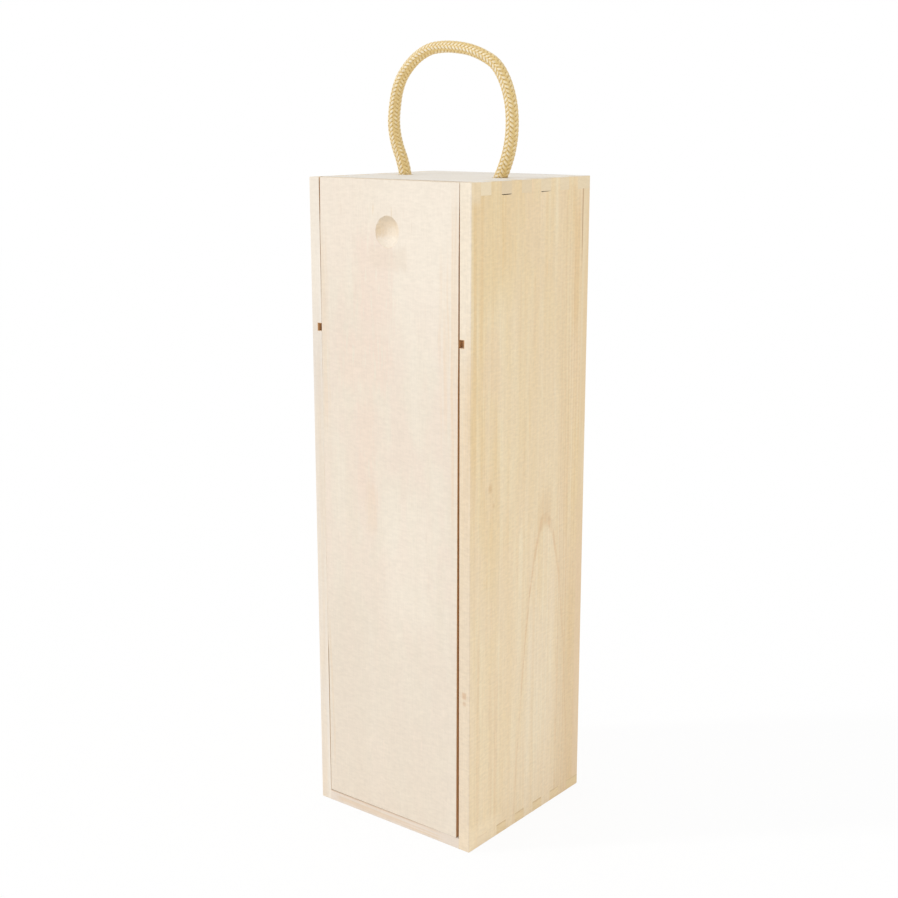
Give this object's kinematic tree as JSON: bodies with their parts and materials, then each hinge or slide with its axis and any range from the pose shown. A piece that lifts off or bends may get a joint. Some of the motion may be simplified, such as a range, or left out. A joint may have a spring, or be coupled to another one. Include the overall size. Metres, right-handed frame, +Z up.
{
  "type": "wine box",
  "caption": "Tall wooden box for a single bottle of wine, with a lid that slides up in grooves, finger joints, a neck rest inside and a braided rope handle.",
  "frame": {"origin": "middle of the base, on the surface that the box stands on", "axes": "+Z up, the lid faces -Y, the back board is at +Y, +X is the right side seen from the front"},
  "size_m": [0.106, 0.104, 0.4188],
  "materials": {
    "side_wood": "bare sanded softwood, straight and cathedral grain",
    "back_wood": "bare sanded softwood",
    "end_wood": "bare sanded softwood, pale",
    "thin_board": "bare thin board",
    "lid_wood": "bare sanded softwood, pale and slightly pink",
    "rope": "braided cord, golden straw colour with a soft sheen"
  },
  "bodies": {
    "box": {"left_side": "side_wood", "right_side": "side_wood", "back_panel": "back_wood", "top_panel": "end_wood", "bottom_panel": "end_wood", "neck_rest": "thin_board", "rope_end_left": "rope", "rope_end_right": "rope"},
    "lid": {"lid": "lid_wood"},
    "handle": {"rope_handle": "rope"}
  },
  "joints": [
    {"name": "lid_slide", "type": "slide", "parent": "box", "child": "lid", "axis": [0, 0, 1], "range_m": [0, 0.375]},
    {"name": "handle_swing", "type": "hinge", "parent": "box", "child": "handle", "pos_m": [0, 0, 0.3536], "axis": [1, 0, 0], "range_deg": [-75, 75], "stiffness_Nm_per_rad": 0.03}
  ]
}
